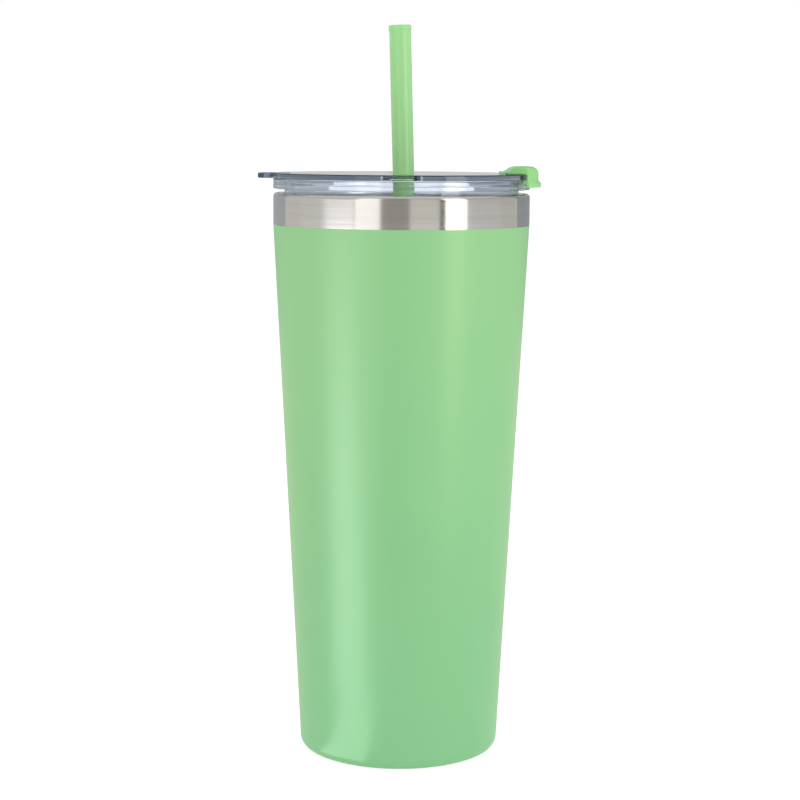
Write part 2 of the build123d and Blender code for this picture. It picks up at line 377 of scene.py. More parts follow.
@dataclass(frozen=True)
class ClearPlastic:
    """Clear moulded plastic with a polished skin and faint flow ripples.

    Args:
        name: Material name.
        colour: Tint of the light that goes through a wall.
        edge: Tint at the outer edge, partly the plastic's own absorption where light runs a long
            way through it and partly painted shade that darkens the flange's upper edge and the
            tab.
        edge_from: Radius at which the edge tint starts.
        painted_shade_above: Height above which the edge is at its darkest, as painted shade.
        edge_fade: Distance over which the edge tint comes in.
        painted_shade_fade: Height over which that painted shade comes in.
        beyond: Distances past the edge between which a tab's upright faces get the tint, painted
            shade that darkens the tab.
        upright: Slopes of a face between which it starts and ends to count as upright.
        roughness: Surface roughness.
        ior: Refractive index.
        flow: Width of the moulding ripples.
        ripple: Height of the moulding ripples.
        scuff: Size of the scuffs along X, Y and Z.
        clear: Share of light that goes through.
    """

    name: str
    colour: Colour
    edge: Colour = WHITE
    edge_from: float = 1.0
    painted_shade_above: float = 0.0
    edge_fade: float = 0.1 * MM
    painted_shade_fade: float = 0.3 * MM
    beyond: Point = (0.6 * MM, 1.2 * MM)
    upright: Point = (0.92, 0.6)
    roughness: float = 0.02
    ior: float = 1.45
    flow: float = 9 * MM
    ripple: float = 0.004 * MM
    scuff: Size = (0.6 * MM, 4 * MM, 0.6 * MM)
    clear: float = 1.0

    def rim(self, nodes: Nodes) -> bpy.types.NodeSocket:
        """How far a point counts as the outer edge, which gets the dark tint that is partly
        painted shade.

        Args:
            nodes: The node tree to add to.

        Returns:
            A socket that runs from 0 inside to 1 at the edge.
        """
        coords = nodes.add("ShaderNodeTexCoord")
        flat = nodes.add("ShaderNodeVectorMath")
        flat.operation = "MULTIPLY"
        flat.inputs[1].default_value = (1.0, 1.0, 0.0)
        length = nodes.add("ShaderNodeVectorMath")
        length.operation = "LENGTH"
        split = nodes.add("ShaderNodeSeparateXYZ")
        nodes.join(coords.outputs["Object"], flat.inputs[0])
        nodes.join(flat.outputs["Vector"], length.inputs[0])
        nodes.join(coords.outputs["Object"], split.inputs["Vector"])
        facing = nodes.add("ShaderNodeSeparateXYZ")
        nodes.join(coords.outputs["Normal"], facing.inputs["Vector"])
        steep = nodes.add("ShaderNodeMath")
        steep.operation = "ABSOLUTE"
        nodes.join(facing.outputs["Z"], steep.inputs[0])
        radius = length.outputs["Value"]
        start = self.edge_from
        outer = nodes.fade(radius, start, start + self.edge_fade)
        # painted shade: the tint is strongest on the upper part of the flange's edge and on the
        # tab's upright faces, standing in for the dark look of light bent through them
        upper = nodes.fade(
            split.outputs["Z"], self.painted_shade_above - self.painted_shade_fade, self.painted_shade_above
        )
        upright = nodes.fade(steep.outputs["Value"], *self.upright)
        beyond = nodes.fade(radius, *(start + distance for distance in self.beyond))
        tab = nodes.combine("MULTIPLY", beyond, upright)
        return nodes.combine("MULTIPLY", outer, nodes.combine("MAXIMUM", upper, tab))

    def make(self) -> bpy.types.Material:
        """Build the material.

        Returns:
            The material.
        """
        nodes = Nodes(self.name)
        flow = nodes.noise((self.flow,) * 3)
        # painted shade, with some real absorption: the outer edge and the tab are tinted dark
        nodes.tint(self.rim(nodes), self.colour, self.edge)
        nodes.vary(nodes.noise(self.scuff, detail=3.0), self.roughness, 0.7, 1.4)
        nodes.bump([(flow, self.ripple)])
        nodes.set(Transmission_Weight=self.clear, IOR=self.ior)
        return nodes.material


@dataclass(frozen=True)
class MouldedPlastic:
    """Satin coloured plastic, moulded or extruded.

    Args:
        name: Material name.
        colour: Base colour.
        roughness: Mean roughness.
        grain: Size of the surface grain along X, Y and Z.
        grain_height: Height of the grain.
        cloud: How much wider the colour's patches are than the grain.
        glow: Share of the light that travels under the skin.
        glow_reach: How far it travels.
        ior: Refractive index.
    """

    name: str
    colour: Colour
    roughness: float = 0.35
    grain: Size = (0.4 * MM, 0.4 * MM, 0.4 * MM)
    grain_height: float = 0.0012 * MM
    cloud: float = 14.0
    glow: float = 0.25
    glow_reach: float = 2.0 * MM
    ior: float = 1.5

    def make(self) -> bpy.types.Material:
        """Build the material.

        Returns:
            The material.
        """
        nodes = Nodes(self.name)
        cloud = nodes.noise(tuple(g * self.cloud for g in self.grain))
        nodes.mottle(cloud, self.colour, 0.97, 1.03)
        grain = nodes.noise(self.grain, detail=3.0)
        nodes.vary(grain, self.roughness, 0.88, 1.12)
        nodes.bump([(grain, self.grain_height)])
        nodes.set(Subsurface_Weight=self.glow, Subsurface_Scale=self.glow_reach, IOR=self.ior)
        nodes.set(Subsurface_Radius=shade(self.colour, 1.6))
        return nodes.material


@dataclass(frozen=True)
class Cast:
    """A dull sintered or fused lump.

    Args:
        name: Material name.
        colour: Base colour.
        roughness: Mean roughness.
        metal: Share of metal.
        pit: Width of a pit.
        pit_depth: Depth of a pit.
    """

    name: str
    colour: Colour
    roughness: float = 0.6
    metal: float = 0.0
    pit: float = 0.3 * MM
    pit_depth: float = 0.02 * MM

    def make(self) -> bpy.types.Material:
        """Build the material.

        Returns:
            The material.
        """
        nodes = Nodes(self.name)
        pits = nodes.noise((self.pit,) * 3, detail=4.0)
        nodes.mottle(pits, self.colour, 0.8, 1.2)
        nodes.bump([(pits, self.pit_depth)])
        nodes.set(Metallic=self.metal, Roughness=self.roughness)
        return nodes.material


# the second colour is the painted shade at the foot
COAT = PowderCoat("mint_powder_coat", (0.272, 0.61, 0.258), (0.226, 0.572, 0.258))
BAND_STEEL = BrushedSteel(
    "brushed_band_steel", (0.66, 0.645, 0.62), roughness=0.2, anisotropy=0.95
)
LINER_STEEL = BrushedSteel(
    "polished_liner_steel", (0.84, 0.84, 0.83), roughness=0.3, anisotropy=0.5
)
BASE_STEEL = BrushedSteel("pressed_base_steel", (0.58, 0.58, 0.57), roughness=0.38, anisotropy=0.0)
LID_PLASTIC = ClearPlastic(
    "clear_lid_plastic",
    (0.925, 0.953, 0.995),
    # dark edge tint: partly real absorption, partly painted shade on the flange's upper edge and
    # the tab
    edge=(0.15, 0.2, 0.28),
    edge_from=43.9 * MM,
    painted_shade_above=200.75 * MM,
)
GASKET_SILICONE = ClearPlastic(
    "clear_silicone", (0.9, 0.92, 0.94), roughness=0.3, ior=1.41, clear=0.8
)
STOPPER_PLASTIC = MouldedPlastic(
    "mint_stopper_plastic", (0.3, 0.69, 0.25), roughness=0.28, grain_height=0.0004 * MM
)
STRAW_PLASTIC = MouldedPlastic(
    "mint_straw_plastic",
    (0.385, 0.77, 0.325),
    roughness=0.18,
    grain=(0.5 * MM, 0.5 * MM, 25 * MM),
)
GETTER_METAL = Cast("sintered_getter", (0.16, 0.16, 0.17), metal=0.6)
SOLDER_GLASS = Cast("glass_solder", (0.2, 0.24, 0.22), roughness=0.2)


# ---------------------------------------------------------------- outlines and meshes


def rounded(points: list[Point], radii: list[float]) -> list[Point]:
    """A closed outline with each corner rounded to its own radius.

    Args:
        points: Corners in order, in millimetres.
        radii: One radius for each corner, 0 for a sharp one.

    Returns:
        The outline's points, in millimetres.
    """
    outline: list[Point] = []
    count = len(points)
    for i, radius in enumerate(radii):
        here = Vector(points[i])
        if radius <= 0:
            outline.append(tuple(here))
            continue
        back = (Vector(points[i - 1]) - here).normalized()
        ahead = (Vector(points[(i + 1) % count]) - here).normalized()
        half = back.angle(ahead) / 2
        reach = radius / math.tan(half)
        centre = here + (back + ahead).normalized() * (radius / math.sin(half))
        start = here + back * reach - centre
        turn = start.angle_signed(here + ahead * reach - centre)
        for step in range(CORNER_SPANS + 1):
            spin = Matrix.Rotation(-turn * step / CORNER_SPANS, 2)
            outline.append(tuple(centre + spin @ start))
    return outline


def finished_object(
    name: str, mesh: bmesh.types.BMesh, material: bpy.types.Material
) -> bpy.types.Object:
    """Turn a bmesh in metres into a smooth object with a material.

    Args:
        name: The piece's name.
        mesh: Its geometry, freed here.
        material: Its finish.

    Returns:
        The linked object.
    """
    bmesh.ops.recalc_face_normals(mesh, faces=mesh.faces)
    data = bpy.data.meshes.new(name)
    mesh.to_mesh(data)
    mesh.free()
    data.materials.append(material)
    made = bpy.data.objects.new(name, data)
    bpy.context.scene.collection.objects.link(made)
    data.shade_smooth()
    data.set_sharp_from_angle(angle=SHARP_ANGLE)
    return made


def turned(points: list[Point], radii: list[float]) -> bmesh.types.BMesh:
    """Turn a closed section round the cup's axis.

    Args:
        points: The section's corners as radius and height, in millimetres.
        radii: One rounding for each corner.

    Returns:
        The closed mesh, in metres.
    """
    mesh = bmesh.new()
    verts = [mesh.verts.new((r * MM, 0, z * MM)) for r, z in rounded(points, radii)]
    edges = [mesh.edges.new((verts[i - 1], verts[i])) for i in range(len(verts))]
    bmesh.ops.spin(
        mesh,
        geom=verts + edges,
        cent=(0, 0, 0),
        axis=(0, 0, 1),
        angle=math.tau,
        steps=TURN_SPANS,
        use_merge=True,
    )
    bmesh.ops.remove_doubles(mesh, verts=mesh.verts, dist=MERGE_DISTANCE)
    return mesh


def disc_slice(
    radius: float, chord: float, width: float, low: float, high: float, draft: float = 0.0
) -> bmesh.types.BMesh:
    """The part of a disc that lies beyond a chord, between two sides.

    Args:
        radius: The disc's radius at its top, in millimetres.
        chord: Distance of the chord from the axis.
        width: Distance between the sides.
        low: Height of its underside.
        high: Height of its top.
        draft: How far the walls lean in towards the underside, in degrees.

    Returns:
        The closed mesh, in metres.
    """
    lean = math.tan(math.radians(draft))
    mesh = bmesh.new()
    bmesh.ops.create_cone(
        mesh,
        cap_ends=True,
        segments=DISC_SPANS,
        radius1=(radius - lean * (high - low)) * MM,
        radius2=radius * MM,
        depth=(high - low) * MM,
    )
    bmesh.ops.translate(mesh, vec=(0, 0, (low + high) / 2 * MM), verts=mesh.verts)
    cuts = [((chord, 0, high), (1, 0, lean)), ((0, width / 2, high), (0, -1, lean))]
    cuts.append(((0, -width / 2, high), (0, 1, lean)))
    for point, normal in cuts:
        cut = bmesh.ops.bisect_plane(
            mesh,
            geom=[*mesh.verts, *mesh.edges, *mesh.faces],
            plane_co=Vector(point) * MM,
            plane_no=normal,
            clear_inner=True,
        )["geom_cut"]
        edges = [g for g in cut if isinstance(g, bmesh.types.BMEdge)]
        bmesh.ops.contextual_create(mesh, geom=edges)
    return mesh


def carve(made: bpy.types.Object, tool: bmesh.types.BMesh, operation: str) -> None:
    """Add a tool's shape to a piece or cut it away.

    Args:
        made: The piece.
        tool: The tool's closed mesh, freed here.
        operation: UNION or DIFFERENCE.
    """
    cutter = finished_object(f"{made.name}_tool", tool, made.data.materials[0])
    boolean = made.modifiers.new("carve", "BOOLEAN")
    boolean.operation = operation
    boolean.solver = "EXACT"
    boolean.object = cutter
    settle(made)
    bpy.data.objects.remove(cutter)


def settle(made: bpy.types.Object) -> None:
    """Apply a piece's modifiers to its mesh.

    Args:
        made: The piece.
    """
    bpy.context.view_layer.update()
    seen = made.evaluated_get(bpy.context.evaluated_depsgraph_get())
    mesh = bpy.data.meshes.new_from_object(seen)
    made.modifiers.clear()
    made.data = mesh


def even_normals(made: bpy.types.Object) -> None:
    """Keep flat faces flat where they meet rounded edges.

    Args:
        made: The piece.
    """
    made.data.set_sharp_from_angle(angle=SHARP_ANGLE)
    made.modifiers.new("normals", "WEIGHTED_NORMAL").keep_sharp = True
    settle(made)


def stand_in(made: bpy.types.Object, body: str, node: str) -> None:
    """Let a piece stand for a CAD node.

    Args:
        made: The piece.
        body: The body that it rides on.
        node: The CAD node that it replaces.
    """
    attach(made, body)
    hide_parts(node)
    LOG.info("%s: %d faces for %s", made.name, len(made.data.polygons), node)


# ---------------------------------------------------------------- sub-assemblies


@dataclass
class Cup:
    """The vacuum cup. Sizes are in millimetres.

    Args:
        nodes: The CAD nodes.
        rim_r: Radius of the rim.
        rim_z: Height of the rim.
        foot_r: Radius of the foot, over its coat.
        band_h: Height of the bare band.
        band_step: Height over which the wall steps out where the coat ends.
        steel_t: Thickness of the steel.
        paint_t: Thickness of the coat.
        foot_round: Rounding at the foot.
        foot_w: Width of the flat ring that the cup stands on.
        rim_round: Rounding outside the rim.
        mouth_wall: Distance from the rim's outside to the mouth.
        mouth_depth: Depth of the mouth down to the lid's ledge.
        lip_round: Rounding inside the rim.
        ledge_w: Width of the ledge.
        ledge_round: Rounding of the ledge.
        vacuum_gap: Gap between the walls.
        seam_z: Height of the inner wall's seam with its bottom.
    """

    nodes: dict[str, bpy.types.Object]
    rim_r: float = 44.2
    rim_z: float = 195.1
    foot_r: float = 34.75
    band_h: float = 10.8
    band_step: float = 0.3
    steel_t: float = 0.5
    paint_t: float = 0.15
    foot_round: float = 3.0
    foot_w: float = 2.1
    rim_round: float = 1.2
    mouth_wall: float = 2.9
    mouth_depth: float = 9.5
    lip_round: float = 1.3
    ledge_w: float = 1.9
    ledge_round: float = 0.4
    vacuum_gap: float = 4.1
    seam_z: float = 14.0

    def build(self) -> None:
        """Form the two steel walls and dress the rest of the cup."""
        self.outer_wall()
        self.inner_wall()
        dress(self.nodes, ("powder_coat",), COAT.make())
        dress(self.nodes, ("liner_bottom",), LINER_STEEL.make())
        dress(self.nodes, ("base_plate", "base_cover", "getter_clip"), BASE_STEEL.make())
        dress(self.nodes, ("getter_pellet",), GETTER_METAL.make())
        dress(self.nodes, ("seal_bead",), SOLDER_GLASS.make())

    def outer_wall(self) -> None:
        """Turn the outer wall, from the rolled foot to the rounded rim."""
        t = self.steel_t
        paint_z = self.rim_z - self.band_h
        foot, top = self.foot_r - self.paint_t, self.rim_r - self.paint_t
        taper = (top - foot) / paint_z
        foot_in = foot - self.foot_round - self.foot_w
        weld = self.rim_r - self.rim_round
        points = [
            (foot_in, 0),
            (foot, 0),
            (top, paint_z),
            (self.rim_r, paint_z + self.band_step),
            (self.rim_r, self.rim_z),
            (weld, self.rim_z),
            (weld, self.rim_z - t),
            (self.rim_r - t, self.rim_z - t),
            (self.rim_r - t, paint_z + self.band_step),
            (top - t, paint_z),
            (foot - t + taper * t, t),
            (foot_in, t),
        ]
        foot_round, rim_round = self.foot_round, self.rim_round
        radii = [0, foot_round, 0, 0, rim_round, 0]
        radii += [0, rim_round - t, 0, 0, foot_round - t, 0]
        made = finished_object("outer_wall", turned(points, radii), BAND_STEEL.make())
        even_normals(made)
        stand_in(made, "cup", "outer_shell")

    def inner_wall(self) -> None:
        """Turn the inner wall, from its welded lip down to the seam with the bottom."""
        t = self.steel_t
        paint_z = self.rim_z - self.band_h
        foot, top = self.foot_r - self.paint_t, self.rim_r - self.paint_t
        seam = foot + (top - foot) / paint_z * self.seam_z - 2 * t - self.vacuum_gap
        mouth = self.rim_r - self.mouth_wall
        ledge_z = self.rim_z - self.mouth_depth
        ledge = mouth - self.ledge_w
        weld = self.rim_r - self.rim_round
        points = [
            (seam, self.seam_z),
            (ledge, ledge_z),
            (mouth, ledge_z),
            (mouth, self.rim_z),
            (weld, self.rim_z),
            (weld, self.rim_z - t),
            (mouth + t, self.rim_z - t),
            (mouth + t, ledge_z - t),
            (ledge + t, ledge_z - t),
            (seam + t, self.seam_z),
        ]
        edge = self.ledge_round
        radii = [0, edge, edge, self.lip_round, 0, 0, self.lip_round - t, edge + t, 0, 0]
        made = finished_object("inner_wall", turned(points, radii), LINER_STEEL.make())
        even_normals(made)
        stand_in(made, "cup", "liner_tube")


@dataclass
class Lid:
    """The clear lid with its gasket, and the straw through it. Sizes are in millimetres.

    Args:
        nodes: The CAD nodes.
        top: Height of the lid's top.
        flange_t: Thickness of the flange.
        rim_r: Radius of the flange.
        skirt_low: Height of the skirt's lower edge.
        skirt_t: Thickness of the skirt.
        line_z: Height of the fine line round the skirt.
        line: Depth of that line, and half its width.
        plug_r: Radius of the plug.
        plug_t: Thickness of the plug.
        plug_low: Height of the plug's lower edge.
        groove_top: Height of the top of the gasket's groove.
        groove_h: Height of the groove.
        groove_d: Depth of the groove.
        hole_r: Radius of the straw hole.
        hole_edge: Rounding of the straw hole.
        edge: Rounding of the flange and the tab.
        edge_spans: Spans in that rounding.
        soft: Rounding of the lower edges.
        root: Rounding where the walls meet the flange.
        tab_out: How far the lift tab stands out.
        tab_w: Width of the tab.
        tab_corner: Rounding of its corners.
        tab_spans: Spans in a corner.
        slot_x: Where the sip slot starts.
        slot_r: Radius of its outer side.
        slot_w: Width of the slot.
        slit_x: Where the slit for the stopper's rail is.
        slit_t: Thickness of the slit.
        slit_w: Width of the slit.
    """

    nodes: dict[str, bpy.types.Object]
    top: float = 201.9
    flange_t: float = 1.85
    rim_r: float = 44.2
    skirt_low: float = 196.55
    skirt_t: float = 1.4
    line_z: float = 198.3
    line: float = 0.25
    plug_r: float = 40.3
    plug_t: float = 1.3
    plug_low: float = 185.7
    groove_top: float = 193.7
    groove_h: float = 4.0
    groove_d: float = 0.5
    hole_r: float = 4.5
    hole_edge: float = 0.2
    edge: float = 0.45
    edge_spans: int = 5
    soft: float = 0.35
    root: float = 0.5
    tab_out: float = 5.0
    tab_w: float = 17.0
    tab_corner: float = 3.6
    tab_spans: int = 12
    slot_x: float = 36.0
    slot_r: float = 38.6
    slot_w: float = 15.0
    slit_x: float = 34.7
    slit_t: float = 0.6
    slit_w: float = 16.0

    def build(self) -> None:
        """Mould the lid and dress its gasket and the straw."""
        plastic = LID_PLASTIC.make()
        made = finished_object("clear_lid", self.moulding(), plastic)
        carve(made, self.tab(), "UNION")
        carve(made, self.sip_slot(), "DIFFERENCE")
        carve(made, self.slit(), "DIFFERENCE")
        even_normals(made)
        stand_in(made, "lid", "lid_body")
        dress(self.nodes, ("lid_gasket",), GASKET_SILICONE.make())
        dress(self.nodes, ("straw",), STRAW_PLASTIC.make())
        made.visible_shadow = False
        self.nodes["lid_gasket"].visible_shadow = False

    def moulding(self) -> bmesh.types.BMesh:
        """The flange, skirt and plug in one turned section.

        Returns:
            The closed mesh.
        """
        low = self.top - self.flange_t
        inner = self.plug_r - self.plug_t
        groove = self.plug_r - self.groove_d
        points = [
            (self.hole_r, self.top),
            (self.rim_r, self.top),
            (self.rim_r, self.line_z + self.line),
            (self.rim_r - self.line, self.line_z + self.line / 2),
            (self.rim_r - self.line, self.line_z - self.line / 2),
            (self.rim_r, self.line_z - self.line),
            (self.rim_r, self.skirt_low),
            (self.rim_r - self.skirt_t, self.skirt_low),
            (self.rim_r - self.skirt_t, low),
            (self.plug_r, low),
            (self.plug_r, self.groove_top),
            (groove, self.groove_top),
            (groove, self.groove_top - self.groove_h),
            (self.plug_r, self.groove_top - self.groove_h),
            (self.plug_r, self.plug_low),
            (inner, self.plug_low),
            (inner, low),
            (self.hole_r, low),
        ]
        soft, root = self.soft, self.root
        radii = [self.hole_edge, self.edge, 0, 0, 0, 0, soft, soft, root, root]
        radii += [0, 0, 0, 0, soft, soft, root, self.hole_edge]
        return turned(points, radii)

    def tab(self) -> bmesh.types.BMesh:
        """The lift tab: a plate with rounded outer corners and edges.

        Returns:
            The closed mesh.
        """
        inside = 3 * self.skirt_t
        long = self.tab_out + inside
        mesh = bmesh.new()
        bmesh.ops.create_cube(mesh, size=1.0)
        bmesh.ops.scale(mesh, vec=Vector((long, self.tab_w, self.flange_t)) * MM, verts=mesh.verts)
        upright = [
            e
            for e in mesh.edges
            if all(v.co.x < 0 for v in e.verts) and e.verts[0].co.z * e.verts[1].co.z < 0
        ]
        smooth = {"profile": 0.5, "affect": "EDGES", "material": -1}
        corner = self.tab_corner * MM
        bmesh.ops.bevel(mesh, geom=upright, offset=corner, segments=self.tab_spans, **smooth)
        plates = [f for f in mesh.faces if abs(f.normal.z) > 0.9]
        rims = list({e for f in plates for e in f.edges})
        edge = self.edge * MM
        bmesh.ops.bevel(mesh, geom=rims, offset=edge, segments=self.edge_spans, **smooth)
        middle = -self.rim_r - self.tab_out + long / 2
        place = Vector((middle, 0, self.top - self.flange_t / 2)) * MM
        bmesh.ops.translate(mesh, vec=place, verts=mesh.verts)
        return mesh

    def sip_slot(self) -> bmesh.types.BMesh:
        """The cutter for the sip slot: a slice of a disc.

        Returns:
            The closed mesh.
        """
        middle = self.top - self.flange_t / 2
        reach = 1.5 * self.flange_t
        return disc_slice(self.slot_r, self.slot_x, self.slot_w, middle - reach, middle + reach)

    def slit(self) -> bmesh.types.BMesh:
        """The cutter for the slit that holds the stopper's rail.

        Returns:
            The closed mesh.
        """
        mesh = bmesh.new()
        bmesh.ops.create_cube(mesh, size=1.0)
        size = Vector((self.slit_t, self.slit_w, 3 * self.flange_t)) * MM
        bmesh.ops.scale(mesh, vec=size, verts=mesh.verts)
        place = Vector((self.slit_x, 0, self.top - self.flange_t / 2)) * MM
        bmesh.ops.translate(mesh, vec=place, verts=mesh.verts)
        return mesh


@dataclass
class Stopper:
    """The flip stopper: a thin living hinge, ramp, dome, hook and pad in one moulding.

    Sizes are in millimetres.

    Args:
        nodes: The CAD nodes.
        web_t: Thickness of the living hinge.
        web_w: Length of the living hinge across the fold.
        web_end: How far before the web's end it widens to the stopper's width.
        web_lean: How far the web's underside leans in.
        web_round: Rounding at the web's foot.
        bury: How far the web runs into the rail.
        lift: Rise of the web's top along the fold, from below the rail's top to above it.
        ramp_w: How far out the ramp meets the dome's top.
        ramp_round: Rounding at the ramp's foot.
        dome_round: Rounding where the ramp meets the dome's top.
        shoulder: Radius of the dome's outer shoulder.
        gap: Gap between the flap and the lid.
        hook_in: Gap between the hook and the lid's rim.
        hook_low: How far the hook reaches below the lid's top.
        hook_t: Thickness of the hook.
        flare: How far the lifting lip stands out at the hem.
        flare_low: Height of the lip above the hem.
        flare_high: Height above the hem at which the lip starts.
        hem_rounds: Roundings from the lip's start round the hem to the flap's underside.
        corner: Rounding of the stopper's outer corners, seen from above.
        corner_keep: Least share of the hook's thickness left at a corner.
        corner_pull: How strongly a corner pulls the hook in.
        inner_w: Width inside the hook that follows the corner.
        bend_w: Width inside the rim that is curved to follow it.
        edge: Rounding of the two ends.
        edge_spans: Spans in that rounding.
        slices: Spans across the width.
        pad_x: Where the pad that fills the sip slot starts.
        pad_r: Radius of the pad's outer wall.
        pad_w: Width of the pad.
        pad_h: How far the pad stands out under the flap.
        pad_draft: Lean of the pad's walls, in degrees.
        pad_bury: How far the pad runs up into the flap.
        blend_in: How far before the rail's outer face the fold starts; not used.
    """

    nodes: dict[str, bpy.types.Object]
    web_t: float = 0.35
    web_w: float = 0.5
    web_end: float = 0.1
    web_lean: float = 0.15
    web_round: float = 0.1
    bury: float = 0.15
    lift: Point = (-0.02, 0.05)
    ramp_w: float = 3.1
    ramp_round: float = 0.8
    dome_round: float = 5.0
    shoulder: float = 2.5
    gap: float = 0.1
    hook_in: float = 0.25
    hook_low: float = 4.5
    hook_t: float = 2.6
    flare: float = 0.9
    flare_low: float = 1.4
    flare_high: float = 2.4
    hem_rounds: tuple[float, ...] = (0.8, 0.4, 0.35, 0.35, 0.3)
    corner: float = 5.0
    corner_keep: float = 0.35
    corner_pull: float = 0.75
    inner_w: float = 2.0
    bend_w: float = 5.5
    edge: float = 0.15
    edge_spans: int = 3
    slices: int = 28
    pad_x: float = 36.35
    pad_r: float = 38.25
    pad_w: float = 14.3
    pad_h: float = 0.9
    pad_draft: float = 20.0
    pad_bury: float = 0.3
    blend_in: float = 0.05

    def build(self) -> None:
        """Mould the stopper over its CAD node and hide the CAD flap that it stands for."""
        green = STOPPER_PLASTIC.make()
        dress(self.nodes, ("stopper_anchor",), green)
        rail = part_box("stopper_anchor")[1] / MM
        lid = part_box("lid_body")[1] / MM
        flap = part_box("stopper_flap")[1] / MM
        mesh = self.mould(self.outline(lid.z, lid.x, rail.x, rail.z, flap.z), flap.y, lid.x)
        fold = (rail.x + self.web_w - self.web_end) * MM
        under = lid.z + self.gap
        web = [v for v in mesh.verts if v.co.x < fold and v.co.z > under * MM]
        bmesh.ops.scale(mesh, vec=(1.0, rail.y / flap.y, 1.0), verts=web)
        made = finished_object("stopper", mesh, green)
        low, high = under - self.pad_h, under + self.pad_bury
        pad = disc_slice(self.pad_r, self.pad_x, self.pad_w, low, high, self.pad_draft)
        carve(made, pad, "UNION")
        even_normals(made)
        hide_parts("stopper_flap")
        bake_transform(made)
        LOG.info("stopper: %d faces", len(made.data.polygons))

    def outline(
        self, flange: float, rim: float, root: float, rail_top: float, top: float
    ) -> list[Point]:
        """The stopper's section from the rail to the hook, in millimetres.

        Args:
            flange: Height of the lid's top.
            rim: Radius of the lid.
            root: Outer face of the rail.
            rail_top: Top of the rail.
            top: Top of the dome.

        Returns:
            The closed outline.
        """
        low = flange + self.gap
        hook = rim + self.hook_in
        out = hook + self.hook_t
        hem = flange - self.hook_low
        web_low = rail_top - self.web_t
        web_out = root + self.web_w
        points = [
            (root - self.bury, web_low),
            (root - self.bury, rail_top + self.lift[0]),
            (web_out, rail_top + self.lift[1]),
            (root + self.ramp_w, top),
            (out, top),
            (out, hem + self.flare_high),
            (out + self.flare, hem + self.flare_low),
            (out + self.flare, hem),
            (hook, hem),
            (hook, low),
            (web_out, low),
            (web_out - self.web_lean, web_low),
        ]
        radii = [0, 0, self.ramp_round, self.dome_round, self.shoulder, *self.hem_rounds]
        radii += [self.web_round, self.web_round]
        return rounded(points, radii)

    def mould(self, outline: list[Point], half: float, rim: float) -> bmesh.types.BMesh:
        """Extrude the section across the lid and curve it round the rim.

        Args:
            outline: The section.
            half: Half the stopper's width.
            rim: Radius of the lid.

        Returns:
            The closed mesh, in metres.
        """
        mesh = bmesh.new()
        verts = [mesh.verts.new((x, -half, z)) for x, z in outline]
        loop = [mesh.edges.new((verts[i - 1], verts[i])) for i in range(len(verts))]
        step = Vector((0, 2 * half / self.slices, 0))
        for _ in range(self.slices):
            grown = bmesh.ops.extrude_edge_only(mesh, edges=loop)["geom"]
            moved = [g for g in grown if isinstance(g, bmesh.types.BMVert)]
            bmesh.ops.translate(mesh, vec=step, verts=moved)
            loop = [g for g in grown if isinstance(g, bmesh.types.BMEdge)]
        ends = [e for e in mesh.edges if e.is_boundary]
        bmesh.ops.holes_fill(mesh, edges=ends, sides=0)
        caps = [f for f in mesh.faces if len(f.verts) > 4]
        rims = list({e for f in caps for e in f.edges})
        bmesh.ops.bevel(
            mesh,
            geom=rims,
            offset=self.edge,
            segments=self.edge_spans,
            profile=0.5,
            affect="EDGES",
            material=-1,
        )
        for vert in mesh.verts:
            vert.co.x = self.curved(vert.co.x, vert.co.y, half, rim)
        bmesh.ops.scale(mesh, vec=(MM, MM, MM), verts=mesh.verts)
        return mesh

    def curved(self, x: float, y: float, half: float, rim: float) -> float:
        """Where a point of the straight moulding goes once it follows the rim.

        Args:
            x: Its place across the hinge.
            y: Its place along the hinge.
            half: Half the stopper's width.
            rim: Radius of the lid.

        Returns:
            Its new place across the hinge.
        """
        hook = rim + self.hook_in
        share = min(1.0, max(0.0, (x - (rim - self.bend_w)) / self.bend_w))
        share = share * share * (3 - 2 * share)
        inner = math.sqrt(hook**2 - y**2)
        moved = x - (hook - inner) * share
        past = abs(y) - (half - self.corner)
        start = inner - self.inner_w
        if past <= 0 or moved <= start:
            return moved
        full = self.hook_t + self.flare + self.inner_w
        trim = self.corner - math.sqrt(max(0.0, self.corner**2 - past**2))
        keep = max(self.corner_keep, 1 - trim * self.corner_pull / full)
        return start + (moved - start) * keep


def dress(
    nodes: dict[str, bpy.types.Object], names: tuple[str, ...], material: bpy.types.Material
) -> None:
    """Give CAD nodes a finish.

    Args:
        nodes: The CAD nodes by name.
        names: Those to dress.
        material: Their finish.
    """
    for name in names:
        nodes[name].data.materials[0] = material
        LOG.info("%s: %s", name, material.name)


# ---------------------------------------------------------------- studio


WALL_R, WALL_TOP = 1.3, 1.3  # the upright cards' distance and height
FILL_R = 1.2  # the fill lights stand just inside them
CARD_Z = 0.001  # floor cards lie this high
PANEL_SPAN = 6  # degrees of bend to a span


